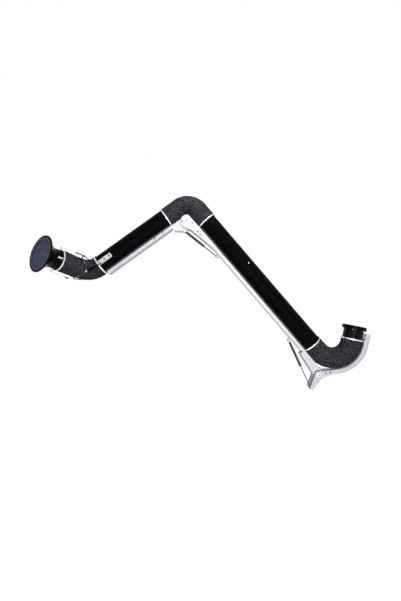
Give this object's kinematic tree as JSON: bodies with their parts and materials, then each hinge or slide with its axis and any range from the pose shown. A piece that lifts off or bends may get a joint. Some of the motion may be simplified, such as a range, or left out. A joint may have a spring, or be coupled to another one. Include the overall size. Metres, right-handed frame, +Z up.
{
  "type": "fume extraction arm",
  "caption": "Jointed fume extraction arm: swivel flange, hose-jointed duct tubes carried by gas springs, and a flared hood with a guard and damper.",
  "frame": {"origin": "centre of the mounting flange's top face, on the swivel axis", "axes": "+Z up along the swivel axis, -X along the arm's reach to the hood, -Y towards the side the hood is turned to at rest"},
  "size_m": [2.854, 0.4987, 1.3876],
  "materials": {
    "black_tube": "satin black powder coat",
    "black_plastic": "satin moulded",
    "hose_fabric": "coated ribbed fabric",
    "bracket_aluminium": "satin",
    "white_steel": "satin paint",
    "bright_steel": "bright",
    "spring_black": "gloss paint",
    "guard_mesh": "satin wire",
    "bearing_bronze": "plain"
  },
  "bodies": {
    "mount": {"mounting_flange": "black_plastic", "swivel_bearing_ring": "bearing_bronze", "swivel_retaining_ring": "bright_steel"},
    "turret": {"base_collar": "black_tube", "collar_clamp": "bright_steel", "c_bracket": "bracket_aluminium", "shoulder_cheek_near": "bracket_aluminium", "shoulder_cheek_far": "bracket_aluminium", "shoulder_spring_boss_near": "bright_steel", "shoulder_spring_boss_far": "bright_steel", "shoulder_pivot_bolt": "bright_steel"},
    "lower_arm": {"lower_tube": "black_tube", "lower_channel": "bracket_aluminium", "shoulder_plate_near": "white_steel", "shoulder_plate_far": "white_steel", "shoulder_friction_washer_near": "bearing_bronze", "shoulder_friction_washer_far": "bearing_bronze", "shoulder_pivot_sleeve": "bright_steel", "shoulder_spring_bracket": "white_steel", "elbow_spring_bracket": "white_steel", "elbow_fork_plate_near": "white_steel", "elbow_fork_plate_far": "white_steel", "elbow_pivot_bolt": "bright_steel", "lower_tube_rear_clamp": "bright_steel", "lower_tube_front_clamp": "bright_steel", "base_hose": "hose_fabric"},
    "upper_arm": {"upper_tube": "black_tube", "upper_channel": "bracket_aluminium", "elbow_plate_near": "white_steel", "elbow_plate_far": "white_steel", "elbow_friction_washer_near": "bearing_bronze", "elbow_friction_washer_far": "bearing_bronze", "elbow_pivot_sleeve": "bright_steel", "elbow_spring_boss_near": "bright_steel", "elbow_spring_boss_far": "bright_steel", "upper_tube_rear_clamp": "bright_steel", "upper_tube_front_clamp": "bright_steel", "elbow_hose": "hose_fabric", "hood_link_plate_near": "white_steel", "hood_link_plate_far": "white_steel", "hood_link_near": "black_plastic", "hood_link_far": "black_plastic", "hood_hose_rear": "hose_fabric"},
    "shoulder_spring_barrel": {"shoulder_spring_barrel": "spring_black"},
    "shoulder_spring_rod": {"shoulder_spring_rod": "bright_steel"},
    "elbow_spring_barrel": {"elbow_spring_barrel": "spring_black"},
    "elbow_spring_rod": {"elbow_spring_rod": "bright_steel"},
    "yoke": {"hood_yoke": "spring_black", "hood_tilt_bolt_near": "bright_steel", "hood_tilt_bolt_far": "bright_steel"},
    "hood": {"hood_shell": "black_plastic", "mesh_guard": "guard_mesh", "hood_neck_clamp": "bright_steel", "hood_strap_top": "bright_steel", "hood_strap_bottom": "bright_steel", "hood_grip": "black_plastic", "hood_knob": "black_plastic", "hood_hose_front": "hose_fabric"},
    "damper": {"damper_plate": "bright_steel", "damper_lever": "white_steel"}
  },
  "joints": [
    {"name": "base_swivel", "type": "hinge", "parent": "mount", "child": "turret", "pos_m": [0, 0, 0], "axis": [0, 0, 1], "continuous": true},
    {"name": "shoulder", "type": "hinge", "parent": "turret", "child": "lower_arm", "pos_m": [-0.229, 0, -0.466], "axis": [0, 1, 0], "range_deg": [-45, 10], "deforming": ["base_hose"]},
    {"name": "elbow", "type": "hinge", "parent": "lower_arm", "child": "upper_arm", "pos_m": [-1.57532, 0, 0.56707], "axis": [0, 1, 0], "range_deg": [-30, 35], "deforming": ["elbow_hose"]},
    {"name": "hood_tilt", "type": "hinge", "parent": "upper_arm", "child": "yoke", "pos_m": [-2.29035, 0, -0.01847], "axis": [0, 1, 0], "range_deg": [-105, 20], "deforming": ["hood_hose_rear"]},
    {"name": "hood_swing", "type": "hinge", "parent": "yoke", "child": "hood", "pos_m": [-2.38671, 0, -0.00061], "axis": [0.1822, 0, 0.9833], "range_deg": [-130, 20], "deforming": ["hood_hose_front"]},
    {"name": "damper_turn", "type": "hinge", "parent": "hood", "child": "damper", "pos_m": [-2.52473, -0.17967, 0.02497], "axis": [0.7932, -0.5855, 0.1673], "range_deg": [0, 90]},
    {"name": "shoulder_spring_swing", "type": "hinge", "parent": "lower_arm", "child": "shoulder_spring_barrel", "pos_m": [-0.52541, 0, -0.23464], "axis": [0, 1, 0], "range_deg": [-2.25, 6.09]},
    {"name": "shoulder_spring_slide", "type": "slide", "parent": "shoulder_spring_barrel", "child": "shoulder_spring_rod", "axis": [0.5954, 0, -0.8034], "range_m": [-0.0905, 0.0209]},
    {"name": "elbow_spring_swing", "type": "hinge", "parent": "lower_arm", "child": "elbow_spring_rod", "pos_m": [-1.26323, 0, 0.33151], "axis": [0, 1, 0], "range_deg": [-3.91, 3.52]},
    {"name": "elbow_spring_slide", "type": "slide", "parent": "elbow_spring_rod", "child": "elbow_spring_barrel", "axis": [-0.8944, 0, 0.4474], "range_m": [-0.036, 0.0419]}
  ],
  "couplings": [
    {"joint": "shoulder_spring_swing", "follows": "shoulder", "ratio": -0.10994},
    {"joint": "shoulder_spring_slide", "follows": "shoulder", "m_per_rad": 0.11389},
    {"joint": "elbow_spring_swing", "follows": "elbow", "ratio": -0.07899},
    {"joint": "elbow_spring_slide", "follows": "elbow", "m_per_rad": 0.066925}
  ]
}
